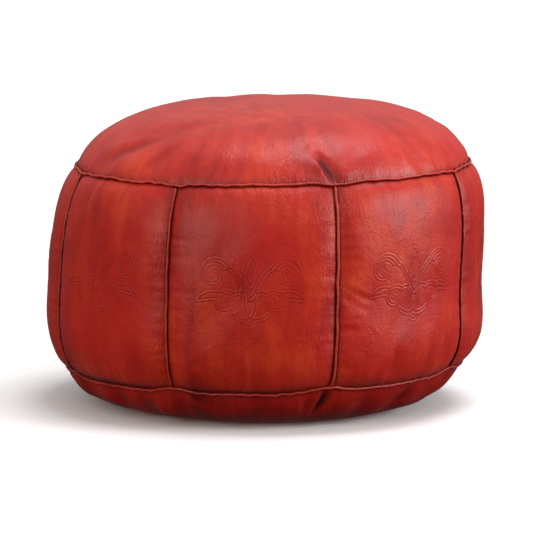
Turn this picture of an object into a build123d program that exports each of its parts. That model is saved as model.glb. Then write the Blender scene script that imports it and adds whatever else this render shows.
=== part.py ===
from build123d import *
from math import atan2, ceil, cos, degrees, radians, sin, sqrt
import os

# A round floor cushion in leather: a plain crown, eight side panels and a base in two halves, which a
# zip fastener joins. Every seam is turned inward over a welt, a bead of rolled leather on a flat tongue.
# A cotton liner bag inside the leather holds the wadding.
# Millimetres, +Z up, the origin on the floor under the middle. The zip runs along X.

# Overall shape: a rounded drum, widest a little under the middle and flat where it stands
radius = 260.0
height = 358.0
widest_height = 149.0
lower_reach = 160.0
roundness = 3.3

# Leather and its seams
panel_count = 8
leather = 1.6
crown_seam_height = 285.0
base_seam_height = 48.0
allowance = 9.0
welt_bead = 5.0
welt_tongue = 1.6
seam_gap = 0.05
surface_gap = 0.15
thread = 0.8

# Liner bag and filling
liner_depth = 12.0
liner_floor = 22.5
liner = 0.8
liner_seam_heights = (46.0, 292.0)
filling_depth = 14.5
filling_floor = 25.0

# Trough along X in the base, which holds the zip off the floor
trough_height = 12.0
trough_top_width = 34.0
trough_foot_width = 120.0

# Zip fastener
mouth_length = 240.0
mouth_width = 18.0
tape_width = 17.0
tape_thickness = 0.9
tape_overhang = 14.0
tape_edge = 1.5
zip_margin = 4.0
tooth_pitch = 5.0
tooth_thickness = 1.9
tooth_depth = 4.4
tooth_reach = 0.9
tooth_rise = 3.4
stop_length = 3.2
running_gap = 0.35
slider_length = 17.0
slider_width = 13.0
slider_plate = 1.4
slider_rim = 1.1
post_length = 3.0
post_width = 2.0
bridge_length = 10.4
bridge_width = 3.0
bridge_drop = 5.0
bridge_bar = 1.3
pull_length = 39.0
pull_width = 9.0
pull_thickness = 1.6
pull_corner = 2.5
eye_length = 7.0
eye_width = 4.6

# Worked out from the sizes above
sector = 360.0 / panel_count
flange_start = welt_tongue / 2 + seam_gap
flange_end = flange_start + leather
tape_middle = trough_height + leather + seam_gap + tape_thickness / 2
zip_start = -mouth_length / 2 + zip_margin
slider_end = mouth_length / 2 - zip_margin
slider_start = slider_end - slider_length
plate_low = tape_middle - tooth_rise / 2 - running_gap
plate_high = tape_middle + tooth_rise / 2 + running_gap
bridge_start = slider_start + 0.8
seam_start = mouth_length / 2 + tape_overhang + 6.0
pin_x = bridge_start + bridge_length / 2
pin_z = plate_low - slider_plate - (bridge_drop - bridge_bar) / 2


def outline(turn, depth=0.0):
    """Radius and height of the drum's outline, moved inward along its normal by depth. The turn runs
    from -90 under the base, through 0 at the widest place, to 90 at the middle of the crown."""
    reach = height - widest_height if turn >= 0 else lower_reach
    side = 1 if turn >= 0 else -1
    across = abs(cos(radians(turn))) ** (2 / roundness)
    up = abs(sin(radians(turn))) ** (2 / roundness)
    out_slope = across ** (roundness - 1) / radius
    up_slope = side * up ** (roundness - 1) / reach
    steepness = sqrt(out_slope**2 + up_slope**2)
    r = radius * across - depth * out_slope / steepness
    z = widest_height + side * reach * up - depth * up_slope / steepness
    return max(r, 0.0), z


def turn_at(level, depth=0.0):
    """Turn at which the outline, moved inward by depth, reaches this height."""
    low, high = -89.0, 89.0
    for halving in range(40):
        middle = (low + high) / 2
        if outline(middle, depth)[1] < level:
            low = middle
        else:
            high = middle
    return middle


def facing(turn):
    """Unit vector in the XZ plane, out of the outline."""
    outer, inner = outline(turn), outline(turn, 1.0)
    return outer[0] - inner[0], 0, outer[1] - inner[1]


def stepped(turn, distance):
    """The turn a short distance further along the outline, up for a positive distance."""
    here, ahead = outline(turn), outline(turn + 0.1)
    return turn + 0.1 * distance / sqrt((ahead[0] - here[0]) ** 2 + (ahead[1] - here[1]) ** 2)


def outline_edge(first, last, depth=0.0):
    """The outline between two turns as one smooth edge."""
    count = 3 + ceil(abs(last - first) / 7.0)
    turns = [first + (last - first) * i / (count - 1) for i in range(count)]
    return Spline([(r, 0, z) for r, z in (outline(turn, depth) for turn in turns)])


def band(first, last, outer_depth, inner_depth):
    """Section of a layer that follows the outline between two turns."""
    outside = outline_edge(first, last, outer_depth)
    inside = outline_edge(first, last, inner_depth)
    ends = [Line(inside @ end, outside @ end) for end in (0, 1)]
    return make_face([outside, inside, *ends])


def at_seam(turn):
    """Plane of a seam's section: its X runs inward from the outline and its Y runs up along it."""
    r, z = outline(turn)
    out = facing(turn)
    return Plane(origin=(r, 0, z), x_dir=(-out[0], 0, -out[2]), z_dir=(0, 1, 0))


def strip(turn, start, end, near, far):
    """Section of a flat strip that runs inward at a seam, between two distances along the outline and
    between two depths."""
    return at_seam(turn) * Pos((near + far) / 2, (start + end) / 2) * Rectangle(far - near, end - start)


def around(section, start=0.0, arc=360.0):
    return Rot(0, 0, start) * revolve(section, Axis.Z, arc)


def joined(*shapes):
    whole = shapes[0]
    for shape in shapes[1:]:
        whole = whole + shape
    return whole


def save(name, *shapes):
    shape = shapes[0] if len(shapes) == 1 else Compound(children=list(shapes))
    export_step(shape, "parts/" + name + ".step")


crown_turn = turn_at(crown_seam_height)
base_turn = turn_at(base_seam_height)
innermost = outline(base_turn, allowance)[0]
half_gap = degrees(flange_start / innermost)
wall = degrees(leather / innermost)


# ---- Leather ----


def crown_panel():
    shell = around(band(crown_turn, 90.0, 0.0, leather))
    shell -= around(strip(crown_turn, -welt_bead, flange_start, -welt_bead, 2 * allowance))
    flange = around(strip(crown_turn, flange_start, flange_end, leather / 2, allowance))
    return joined(shell, flange)


def side_panel(middle):
    """A shallow tray: its rim is the seam allowance on all four sides, turned inward."""
    beyond = 2 * allowance
    block = band(base_turn, crown_turn, 0.0, allowance)
    pocket = band(base_turn, crown_turn, leather, beyond)
    for turn in (base_turn, crown_turn):
        block -= strip(turn, -flange_start, flange_start, -welt_bead, beyond)
        pocket -= strip(turn, -flange_end, flange_end, -welt_bead, beyond + leather)
    block_arc = sector - 2 * half_gap
    pocket_arc = block_arc - 2 * wall
    block = around(block, middle - block_arc / 2, block_arc)
    return block - around(pocket, middle - pocket_arc / 2, pocket_arc)


def ring_welt(turn):
    """Round welt: a bead that sits on the surface and a tongue that runs in between the allowances."""
    bead = at_seam(turn) * Circle(welt_bead / 2)
    for side in (-1, 1):
        inner, outer = sorted((side * welt_tongue / 2, side * welt_bead))
        bead -= strip(turn, inner, outer, -surface_gap, welt_bead)
    tongue = strip(turn, -welt_tongue / 2, welt_tongue / 2, 0.0, allowance)
    return around(joined(bead, tongue))


def side_welt(middle):
    """Upright welt in a radial plane, which stops just short of the round welts."""
    reach = welt_bead / 2 + running_gap
    low, high = stepped(base_turn, reach), stepped(crown_turn, -reach)
    tongue = extrude(band(low, high, -welt_bead / 4, allowance), welt_tongue / 2, both=True)
    path = outline_edge(low, high, -surface_gap)
    half_bead = Circle(welt_bead / 2) & Pos(welt_bead / 2, 0) * Rectangle(welt_bead, welt_bead)
    start = Plane(origin=path @ 0, x_dir=facing(low), z_dir=path % 0)
    return Rot(0, 0, middle) * joined(tongue, sweep(start * half_bead, path))


def base_solid(depth):
    """Everything of the base that lies deeper than depth: a bowl, with the trough pushed up into it."""
    low = turn_at(depth, depth)
    edge = outline_edge(low, stepped(base_turn, welt_bead), depth)
    rim = edge @ 1
    closing = Polyline(rim, (0, 0, rim.Z), (0, 0, depth), edge @ 0)
    bowl = around(make_face([edge, closing]))
    top, foot = trough_top_width / 2, trough_foot_width / 2
    corners = [(-foot, -leather), (-foot, 0), (-top, trough_height), (top, trough_height), (foot, 0)]
    section = Plane.YZ * Pos(0, depth) * Polyline(*corners, (foot, -leather), close=True)
    return bowl - extrude(make_face(section), 2 * radius, both=True)


def base_layer(outer_depth, inner_depth):
    return base_solid(outer_depth) - base_solid(inner_depth)


def base_half(side):
    """Front (-1) or back (1) half. Past the zip's ends the halves turn inward and are sewn together."""
    shell = base_layer(0.0, leather)
    shell -= Pos(0, 0, trough_height) * Box(mouth_length, mouth_width, 4 * leather)
    turned = Pos(0, side * leather / 2, 0) * Box(2 * radius, leather + 2 * seam_gap, height)
    turned -= Box(2 * seam_start, radius, 2 * height)
    rim = around(strip(base_turn, -flange_end, -flange_start, leather / 2, allowance))
    shell = joined(shell, base_layer(leather / 2, allowance) & turned, rim)
    shell -= around(strip(base_turn, -flange_start, 3 * welt_bead, -welt_bead, 2 * allowance))
    return shell & Pos(0, side * (radius + seam_gap), 0) * Box(3 * radius, 2 * radius, height)


# ---- Thread ----


def ring_stitching(turn, pieces, side):
    """A line of stitching beside a round seam, above it (1) or below it (-1). It is broken where seam
    allowances cross it."""
    along = side * (flange_end + thread / 2 + seam_gap)
    section = at_seam(turn) * Pos(allowance / 2 + 1, along) * Circle(thread / 2)
    if pieces == 1:
        return [around(section)]
    arc = 360.0 / pieces
    short = 2 * (half_gap + wall + degrees(thread / innermost))
    first = -90.0 if pieces == panel_count else 90.0
    return [around(section, first + (i - 0.5) * arc + short / 2, arc - short) for i in range(pieces)]


def side_stitching():
    """Two upright lines of stitching beside each upright seam."""
    reach = leather + flange_end + thread
    low, high = stepped(base_turn, reach), stepped(crown_turn, -reach)
    depth = allowance / 2 + 1
    line = extrude(band(low, high, depth, depth + thread), thread / 2, both=True)
    beside = half_gap + wall + degrees(thread / innermost)
    return [Rot(0, 0, middle + side * beside) * line for middle in seam_angles for side in (-1, 1)]


def base_stitching():
    """Lines of stitching beside the seam between the base halves."""
    depth = allowance / 2 + 1
    layer = base_layer(depth, depth + thread)
    lines = []
    for end in (-1, 1):
        for side in (-1, 1):
            outermost = innermost - allowance
            length = outermost - seam_start
            across = seam_gap + leather + thread
            window = Pos(end * (seam_start + length / 2), side * across, 0) * Box(length, thread, height)
            lines.append(layer & window)
    return lines


def zip_stitching():
    """Lines of stitching through the leather and the tapes, seen below the leather and above the tape."""
    length = mouth_length + tape_overhang
    below = trough_height - thread / 2 - seam_gap
    above = tape_middle + (tape_thickness + thread) / 2 + seam_gap
    across = mouth_width / 2 + 3.0
    rod = Rot(0, 90, 0) * Cylinder(thread / 2, length)
    return [Pos(0, side * across, level) * rod for side in (-1, 1) for level in (below, above)]


# ---- Zip fastener ----


def zip_tape(side):
    length = mouth_length + 2 * tape_overhang
    centre = side * (tape_edge + tape_width / 2)
    return Pos(0, centre, tape_middle) * Box(length, tape_width, tape_thickness)


def clamp(side, reach, length):
    """A block clamped over a tape's edge. Its head passes the middle of the zip by reach."""
    block = Pos((tooth_depth - reach) / 2, 0) * Rectangle(tooth_depth + reach, tooth_rise)
    slot = Pos(tape_edge + tooth_depth / 2 - seam_gap, 0)
    section = block - slot * Rectangle(tooth_depth, tape_thickness + 2 * seam_gap)
    seen_along = Plane(origin=(0, 0, tape_middle), x_dir=(0, side, 0), z_dir=(side, 0, 0))
    return Pos(length / 2, 0, 0) * extrude(seen_along * section, length / 2, both=True)


def zip_teeth(side):
    count = int((slider_end - post_length - zip_start) / tooth_pitch)
    shift = 0.0 if side < 0 else tooth_pitch / 2
    tooth = clamp(side, tooth_reach, tooth_thickness)
    return [Pos(zip_start + shift + i * tooth_pitch, 0, 0) * tooth for i in range(count)]


def zip_top_stops():
    place = Pos(slider_end + running_gap, 0, 0)
    return [place * clamp(side, -tape_edge / 2, stop_length) for side in (-1, 1)]


def zip_bottom_stop():
    place = Pos(zip_start - running_gap - stop_length, 0, 0)
    return place * joined(clamp(-1, 0.1, stop_length), clamp(1, 0.1, stop_length))


def zip_slider():
    """Two plates with the teeth between them, joined by a post that parts the two rows. The rims keep
    the teeth in, and the bridge underneath carries the pull."""
    middle = (slider_start + slider_end) / 2
    lower, upper = plate_low - slider_plate / 2, plate_high + slider_plate / 2
    plate = Box(slider_length, slider_width, slider_plate)
    pieces = [Pos(middle, 0, level) * plate for level in (lower, upper)]
    post = Box(post_length, post_width, upper - lower)
    pieces.append(Pos(slider_end - post_length / 2, 0, tape_middle) * post)
    near_tape = tape_thickness / 2 + running_gap
    rim_height = upper - tape_middle - near_tape
    for side in (-1, 1):
        for up in (-1, 1):
            across = side * (slider_width - slider_rim) / 2
            level = tape_middle + up * (near_tape + rim_height / 2)
            pieces.append(Pos(middle, across, level) * Box(slider_length, slider_rim, rim_height))
    foot = lower - bridge_drop / 2 - slider_plate / 4
    for x in (bridge_start + bridge_bar / 2, bridge_start + bridge_length - bridge_bar / 2):
        leg = Box(bridge_bar, bridge_width, bridge_drop + slider_plate / 2)
        pieces.append(Pos(x, 0, foot) * leg)
    bar_level = plate_low - slider_plate - bridge_drop + bridge_bar / 2
    pieces.append(Pos(pin_x, 0, bar_level) * Box(bridge_length, bridge_width, bridge_bar))
    return joined(*pieces)


def zip_pull():
    """A flat tab. Its round crosspiece lies between the slider and the bridge, and its arms pass on
    either side of the bridge."""
    tab = Pos(-pull_length / 2, 0) * RectangleRounded(pull_length, pull_width, pull_corner)
    eye = Pos(-eye_length / 2, 0) * Rectangle(eye_length, eye_width)
    plate = extrude(tab - eye, pull_thickness / 2, both=True)
    crosspiece = Rot(90, 0, 0) * Cylinder(pull_thickness / 2, pull_width - 2 * pull_corner + 1)
    return Pos(pin_x, 0, pin_z) * joined(plate, crosspiece)


# ---- Inside ----


def bag(depth, floor):
    edge = outline_edge(turn_at(floor, depth), 90.0, depth)
    closing = Polyline(edge @ 1, (0, 0, floor), edge @ 0)
    return around(make_face([edge, closing]))


def liner_piece(low, high):
    """The part of the cotton bag between two heights."""
    shell = bag(liner_depth, liner_floor) - bag(liner_depth + liner, liner_floor + liner)
    slab = Box(3 * radius, 3 * radius, high - low - 2 * seam_gap)
    return shell & Pos(0, 0, (low + high) / 2) * slab


def liner_stitching(level):
    r, z = outline(turn_at(level, liner_depth), liner_depth + liner + thread / 2 + seam_gap)
    return around(Plane.XZ * Pos(r, z) * Circle(thread / 2))


panel_angles = [-90.0 + i * sector for i in range(panel_count)]
seam_angles = [angle + sector / 2 for angle in panel_angles]

os.makedirs("parts", exist_ok=True)
save("crown_panel", crown_panel())
for number, (panel_angle, seam_angle) in enumerate(zip(panel_angles, seam_angles), 1):
    save(f"side_panel_{number}", side_panel(panel_angle))
    save(f"side_welt_{number}", side_welt(seam_angle))
save("crown_welt", ring_welt(crown_turn))
save("base_welt", ring_welt(base_turn))
save("base_panel_front", base_half(-1))
save("base_panel_back", base_half(1))

save("crown_seam_thread", *ring_stitching(crown_turn, 1, 1), *ring_stitching(crown_turn, panel_count, -1))
save("base_seam_thread", *ring_stitching(base_turn, 2, -1), *ring_stitching(base_turn, panel_count, 1))
save("side_seam_threads", *side_stitching())
save("base_joint_threads", *base_stitching())
save("zip_seam_threads", *zip_stitching())

for side, name in ((-1, "front"), (1, "back")):
    save("zip_tape_" + name, zip_tape(side))
    save("zip_teeth_" + name, *zip_teeth(side))
save("zip_top_stops", *zip_top_stops())
save("zip_bottom_stop", zip_bottom_stop())
save("zip_slider", zip_slider())
save("zip_pull", zip_pull())

low_seam, high_seam = liner_seam_heights
save("liner_base", liner_piece(0.0, low_seam))
save("liner_side", liner_piece(low_seam, high_seam))
save("liner_top", liner_piece(high_seam, height))
save("liner_threads", liner_stitching(low_seam), liner_stitching(high_seam))
save("filling", bag(filling_depth, filling_floor))
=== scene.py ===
import math
import bpy
import numpy as np
from mathutils import Euler, Matrix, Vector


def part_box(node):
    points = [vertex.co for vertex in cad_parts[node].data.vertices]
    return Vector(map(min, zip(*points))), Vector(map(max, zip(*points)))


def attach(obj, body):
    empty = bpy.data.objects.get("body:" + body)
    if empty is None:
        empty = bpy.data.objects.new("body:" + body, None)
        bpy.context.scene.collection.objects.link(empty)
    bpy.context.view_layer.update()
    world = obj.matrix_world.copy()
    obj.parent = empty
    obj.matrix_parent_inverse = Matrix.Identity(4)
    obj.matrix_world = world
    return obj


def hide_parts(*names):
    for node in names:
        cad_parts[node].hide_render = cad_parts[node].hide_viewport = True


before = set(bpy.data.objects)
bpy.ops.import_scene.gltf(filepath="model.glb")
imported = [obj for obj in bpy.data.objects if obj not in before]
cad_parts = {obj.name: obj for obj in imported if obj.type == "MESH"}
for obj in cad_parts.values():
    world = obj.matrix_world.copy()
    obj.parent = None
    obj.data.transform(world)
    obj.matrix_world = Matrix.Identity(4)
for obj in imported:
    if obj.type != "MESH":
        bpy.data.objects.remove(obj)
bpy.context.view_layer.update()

# A round leather pouf, made as a saddler makes one: the leather is cut and embossed, sewn over welts,
# turned, and stuffed through the zip in its base. Metres and radians, except where a note says otherwise;
# angles run round Z from +X.

drum = {  # the stuffed shape; its seam heights and outline are those of the solid frame
    "widest": 0.149, "lowerReach": 0.160, "roundness": 3.3,
    "crownSeam": 0.285, "baseSeam": 0.048,
    "panels": 8, "leather": 0.0016, "allowance": 0.009, "turn": 0.0022, "tongue": 0.00085,
    "sink": 0.0052, "sinkWidth": 0.0095,  # how deep and how wide the stitching pulls each seam in
    "floorRound": 0.008,  # how softly the base turns up from the floor
    "troughHeight": 0.012, "troughTop": 0.017, "troughFoot": 0.060, "troughRound": 0.012,  # over the zip
    "mouthLength": 0.240, "mouthWidth": 0.018, "mouthRound": 0.006,  # the opening that the zip closes
}
radius = -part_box("side_panel_1")[0][1]
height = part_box("crown_panel")[1][2]
sector = 2 * math.pi / drum["panels"]
panelAngles = [-math.pi / 2 + i * sector for i in range(drum["panels"])]
seamAngles = [angle + sector / 2 for angle in panelAngles]


def say(stage):
    print("pouf:", stage, flush=True)


def readPoints(piece):
    flat = np.empty(len(piece.data.vertices) * 3)
    piece.data.vertices.foreach_get("co", flat)
    return flat.reshape(-1, 3)


def writePoints(piece, points):
    piece.data.vertices.foreach_set("co", np.asarray(points, dtype=np.float32).ravel())
    piece.data.update()


def pointNormals(piece):
    flat = np.empty(len(piece.data.vertices) * 3)
    piece.data.vertices.foreach_get("normal", flat)
    return flat.reshape(-1, 3)


def only(piece):
    bpy.ops.object.select_all(action="DESELECT")
    piece.select_set(True)
    bpy.context.view_layer.objects.active = piece


def inEdit(piece, work):
    only(piece)
    bpy.ops.object.mode_set(mode="EDIT")
    work()
    bpy.ops.object.mode_set(mode="OBJECT")


def addModifier(piece, kind, **settings):
    only(piece)
    modifier = piece.modifiers.new(kind.lower(), kind)
    for name, value in settings.items():
        setattr(modifier, name, value)
    bpy.ops.object.modifier_apply(modifier=modifier.name)


def smoothShade(piece):
    only(piece)
    bpy.ops.object.shade_smooth()


def mergeDoubles():
    bpy.ops.mesh.select_all(action="SELECT")
    bpy.ops.mesh.remove_doubles(threshold=0.00002)


# merges doubles and turns the faces outward
def closeUp():
    mergeDoubles()
    bpy.ops.mesh.normals_make_consistent(inside=False)


def belongTo(piece, slotName, *nodes):
    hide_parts(*nodes)
    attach(piece, "pouf")


# the outline from the middle of the base to the top of the crown, with its outward direction
def drumTable():
    floorTurn = math.asin((drum["widest"] / drum["lowerReach"]) ** (drum["roundness"] / 2))
    turns = np.linspace(-floorTurn, math.pi / 2, 4000)
    power = 2 / drum["roundness"]
    reach = np.where(turns >= 0, height - drum["widest"], drum["lowerReach"])
    across = radius * np.clip(np.cos(turns), 0, None) ** power
    up = drum["widest"] + np.sign(turns) * reach * np.abs(np.sin(turns)) ** power
    across = np.concatenate([np.linspace(0, across[0], 300)[:-1], across])
    up = np.concatenate([np.zeros(299), up])
    length = np.concatenate([[0], np.cumsum(np.hypot(np.diff(across), np.diff(up)))])
    step = 0.0005
    along = np.arange(0, length[-1], step)
    across, up = np.interp(along, length, across), np.interp(along, length, up)
    # the leather bends round the edge of its footprint instead of creasing
    span = int(4 * drum["floorRound"] / step)
    weights = np.exp(-0.5 * (np.arange(-span, span + 1) * step / drum["floorRound"]) ** 2)
    weights /= weights.sum()
    across = np.concatenate([-across[span:0:-1], across, -across[-2:-span - 2:-1]])
    up = np.concatenate([up[span:0:-1], up, up[-2:-span - 2:-1]])
    across, up = np.convolve(across, weights, "valid"), np.convolve(up, weights, "valid")
    slopeAcross, slopeUp = np.gradient(across), np.gradient(up)
    steep = np.hypot(slopeAcross, slopeUp)
    return {"along": along, "across": across, "up": up,
            "outAcross": slopeUp / steep, "outUp": -slopeAcross / steep}


table = drumTable()
topLength = table["along"][-1]


# how far along the outline this height comes on the sides
def lengthAtHeight(level):
    sides = table["across"] > 0.5 * radius
    return np.interp(level, table["up"][sides], table["along"][sides])


baseLength = float(lengthAtHeight(drum["baseSeam"]))
crownLength = float(lengthAtHeight(drum["crownSeam"]))


def fromTable(name, length):
    return np.interp(length, table["along"], table[name])


def aroundAt(angle):
    return np.stack([-np.sin(angle), np.cos(angle), 0 * angle], -1)


def outwardAt(angle, length):
    across, up = fromTable("outAcross", length), fromTable("outUp", length)
    return np.stack([across * np.cos(angle), across * np.sin(angle), up + 0 * angle], -1)


def onDrum(angle, length, depth=0.0):
    across, up = fromTable("across", length), fromTable("up", length)
    spots = np.stack([across * np.cos(angle), across * np.sin(angle), up + 0 * angle], -1)
    return spots - np.asarray(depth)[..., None] * outwardAt(angle, length)


# irregular waves along a line, from about -1 to 1
def ripple(distance, wavelength, seed):
    total = np.zeros_like(distance, dtype=float)
    draws = np.random.default_rng(100 + seed)
    for rate, turn in zip(draws.uniform(0.6, 1.6, 5), draws.uniform(0, 2 * math.pi, 5)):
        total += np.sin(2 * math.pi * distance * rate / wavelength + turn)
    return total / 3


# irregular waves through space, from about -1 to 1
def billow(points, wavelength, seed):
    total = np.zeros(len(points))
    draws = np.random.default_rng(200 + seed)
    for _ in range(7):
        way, other = draws.normal(size=(2, 3))
        way, other = way / np.linalg.norm(way), other / np.linalg.norm(other)
        turn, bend = draws.uniform(0, 2 * math.pi, 2)
        warp = 1.6 * np.sin(2 * math.pi * (points @ other) / (2.6 * wavelength) + bend)
        total += np.sin(2 * math.pi * (points @ way) * draws.uniform(0.7, 1.4) / wavelength + turn + warp)
    return total / 3


settle = {  # how this pouf has slumped: it leans, its top tips, and it is no true circle
    "lean": 0.0615, "bend": -0.157, "tilt": 0.0095, "lumps": 0.0016, "slim": 0.0030,
    "foot": {"out": 0.0100, "height": 0.012, "tall": 0.020, "from": 0.14, "over": 0.05},
    "hip": {"out": 0.0070, "height": 0.085, "tall": 0.040},
}


def settled(points):
    x, y, z = points.T
    share = np.clip(z / height, 0, 1)
    angle = np.arctan2(y, x)
    lumps = np.sin(2 * angle + 0.8) + 0.7 * np.sin(3 * angle - 1.1 + 3 * share)
    swell = (settle["lumps"] * lumps - settle["slim"]) * np.sin(math.pi * np.clip(share, 0.02, 1))
    out = np.hypot(x, y) + 1e-9
    swell = swell * np.clip(out / 0.1, 0, 1)
    # it has spread where it meets the floor, and low down on its +X side
    foot, hip = settle["foot"], settle["hip"]
    spread = foot["out"] * (0.8 - 0.2 * x / out) * np.exp(-((z - foot["height"]) / foot["tall"]) ** 2)
    swell += spread * np.clip((out - foot["from"]) / foot["over"], 0, 1)
    swell += hip["out"] * np.exp(-((z - hip["height"]) / hip["tall"]) ** 2) * np.clip(x / out, 0, 1) ** 2
    # the sides and the top have shifted towards +X, while the front and the back stand upright
    shifted = np.abs(x / out) ** 1.5
    shifted = shifted + (1 - shifted) * np.clip((z - drum["crownSeam"]) / 0.06, 0, 1)
    lean = (settle["lean"] * z + settle["bend"] * z * (height - z)) * shifted
    return np.stack([x + x / out * swell + lean, y + y / out * swell, z + settle["tilt"] * x * share], -1)


seams = {  # the round seams are drawn in where the upright ones meet them, and rise towards +X
    "crown": {"lift": 0.0018, "rise": 0.0040, "draw": -0.0024, "drawWidth": 0.018, "seed": 1},
    "base": {"lift": -0.0062, "rise": 0.0077, "draw": 0.0072, "drawWidth": 0.026, "seed": 2},
    "wander": 0.0008, "waver": 0.0006,
}


def awayFromSeam(angle):
    return np.abs((angle - seamAngles[0] + sector / 2) % sector - sector / 2)


# where a round seam runs, as a length along the outline
def roundSeam(name, length, angle):
    shape = seams[name]
    drawn = shape["draw"] * np.exp(-(awayFromSeam(angle) * radius / shape["drawWidth"]) ** 2)
    wander = seams["wander"] * ripple(angle * radius, 0.11, shape["seed"])
    waver = seams["waver"] * ripple(angle * radius, 0.024, shape["seed"] + 30)
    return length + shape["lift"] + shape["rise"] * np.cos(angle) + drawn + wander + waver


def crownSeamAt(angle):
    return roundSeam("crown", crownLength, angle)


def baseSeamAt(angle):
    return roundSeam("base", baseLength, angle)


# how far the leather lies below the drum's surface at this distance from a seam
def dip(distance):
    return drum["sink"] * np.exp(-(np.clip(distance, 0, None) / drum["sinkWidth"]) ** 1.2)


puckers = {"height": 0.0011, "reach": 0.014, "start": 0.003, "spacing": 0.014}


# small gathers beside a seam, which fade away from it
def pucker(distance, alongSeam, seed):
    fade = (1 - np.exp(-distance / puckers["start"])) * np.exp(-distance / puckers["reach"])
    uneven = 0.6 + 0.4 * ripple(alongSeam, 0.09, seed + 20)
    return -puckers["height"] * fade * uneven * ripple(alongSeam, puckers["spacing"], seed)


# Folds pressed in by use: the angle in degrees and the distance along the outline from the panel's seam, at
# both ends, then the depth and the width. Distances run up from the crown seam, and up or down from the base
# seam.
crownFolds = [
    ((-67.3, 0.003), (-74.5, 0.044), 0.0085, 0.0032),
    ((-70.0, 0.004), (-80.0, 0.018), 0.0016, 0.0032),
    ((-152.0, 0.010), (-128.0, 0.066), 0.0034, 0.0090),
    ((-140.0, 0.060), (-108.0, 0.112), 0.0026, 0.0100),
    ((-128.0, 0.010), (-118.0, 0.050), 0.0022, 0.0070),
    ((-38.0, 0.010), (-48.0, 0.062), 0.0026, 0.0060),
    ((-30.0, 0.016), (-42.0, 0.074), 0.0022, 0.0060),
    ((20.0, 0.008), (8.0, 0.060), 0.0030, 0.0060),
    ((66.0, 0.006), (74.0, 0.052), 0.0040, 0.0050),
    ((112.0, 0.008), (100.0, 0.055), 0.0028, 0.0060),
    ((158.0, 0.006), (150.0, 0.046), 0.0034, 0.0050),
]
sideFolds = [
    ((-51.0, 0.012), (-50.0, 0.056), 0.0030, 0.0052),
    ((-32.5, 0.016), (-31.0, 0.058), 0.0030, 0.0055),
    ((-66.5, 0.122), (-57.0, 0.108), 0.0018, 0.0040),
    ((-66.5, 0.110), (-59.0, 0.100), 0.0014, 0.0035),
    ((-66.5, 0.074), (-61.5, 0.078), 0.0014, 0.0035),
    ((-99.0, 0.008), (-101.0, 0.040), 0.0018, 0.0055),
    ((-136.0, 0.010), (-134.0, 0.062), 0.0024, 0.0060),
    ((-143.0, 0.012), (-146.0, 0.048), 0.0020, 0.0050),
    ((8.0, 0.010), (6.0, 0.060), 0.0028, 0.0055),
    ((52.0, 0.012), (55.0, 0.058), 0.0026, 0.0060),
    ((96.0, 0.010), (98.0, 0.046), 0.0024, 0.0055),
    ((141.0, 0.012), (138.0, 0.064), 0.0028, 0.0060),
]
baseFolds = [
    ((-68.5, 0.002), (-71.5, 0.052), 0.0070, 0.0046),
    ((-73.5, 0.006), (-75.0, 0.046), 0.0030, 0.0046),
    ((-110.0, 0.002), (-101.0, 0.030), 0.0040, 0.0052),
    ((-103.0, 0.004), (-97.0, 0.040), 0.0026, 0.0060),
    ((-136.0, 0.004), (-132.0, 0.050), 0.0032, 0.0070),
    ((-38.0, 0.004), (-44.0, 0.046), 0.0034, 0.0066),
    ((-20.0, 0.002), (-25.0, 0.044), 0.0044, 0.0056),
    ((24.0, 0.002), (30.0, 0.050), 0.0044, 0.0056),
    ((70.0, 0.004), (64.0, 0.046), 0.0034, 0.0060),
    ((114.0, 0.002), (120.0, 0.048), 0.0044, 0.0056),
    ((160.0, 0.002), (152.0, 0.046), 0.0040, 0.0060),
]


# The shape across a fold, as shares of its width: it is widest at its first end, rises slowly on its right,
# and has a lip on its left. rampFrom and ramp place its ends on the half wave that its depth follows.
crease = {"widest": 1.2, "narrows": 0.7, "slowSide": 2.4, "lip": 0.3, "lipAt": 2.1, "lipReach": 4,
          "rampFrom": 0.12, "ramp": 0.86}


def foldDepth(folds, angle, away):
    depth = np.zeros_like(angle)
    spots = np.stack([angle * radius, away], -1)
    for start, end, deep, wide in folds:
        first, last = [np.array([math.radians(a) * radius, b]) for a, b in (start, end)]
        run = last - first
        share = np.clip(((spots - first) @ run) / (run @ run), 0, 1)
        off = spots - (first + share[:, None] * run)
        past, right = np.linalg.norm(off, axis=1), off @ np.array([run[1], -run[0]]) / np.linalg.norm(run)
        # the leather drops steeply on the fold's left, where its lip stands up, and rises slowly on its right
        wide = wide * (crease["widest"] - crease["narrows"] * share)
        line = np.exp(-(past / np.where(right < 0, wide, crease["slowSide"] * wide)) ** 2)
        beside, along = (right + crease["lipAt"] * wide) / wide, past / (crease["lipReach"] * wide)
        lip = crease["lip"] * np.exp(-beside ** 2 - along ** 2)
        ramp = np.sin(math.pi * np.clip(crease["rampFrom"] + crease["ramp"] * share, 0, 1))
        depth += deep * ramp * (line - lip)
    return depth


# painted shade darkens the bottom of a fold that is deeper than 2 mm
def paintedFoldShade(folds, places, away):
    depth = foldDepth(folds, np.arctan2(places[:, 1], places[:, 0]), away)
    return np.clip((depth - 0.002) / 0.004, 0, 1)


# a grid laid out by place(a, b), where a and b run from -1 to 1, with its flat pattern as a UV map
def gridSheet(name, columns, rows, place):
    bpy.ops.object.select_all(action="DESELECT")
    bpy.ops.mesh.primitive_grid_add(x_subdivisions=columns, y_subdivisions=rows, size=2)
    sheet = bpy.context.object
    sheet.name = sheet.data.name = name
    grid = readPoints(sheet)
    shape = place(grid[:, 0], grid[:, 1])
    writePoints(sheet, settled(shape["points"]))
    corners = np.empty(len(sheet.data.loops), dtype=np.int64)
    sheet.data.loops.foreach_get("vertex_index", corners)
    sheet.data.uv_layers[0].name = "pattern"
    sheet.data.uv_layers[0].data.foreach_set("uv", shape["pattern"][corners].astype(np.float32).ravel())
    return sheet, shape


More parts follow.
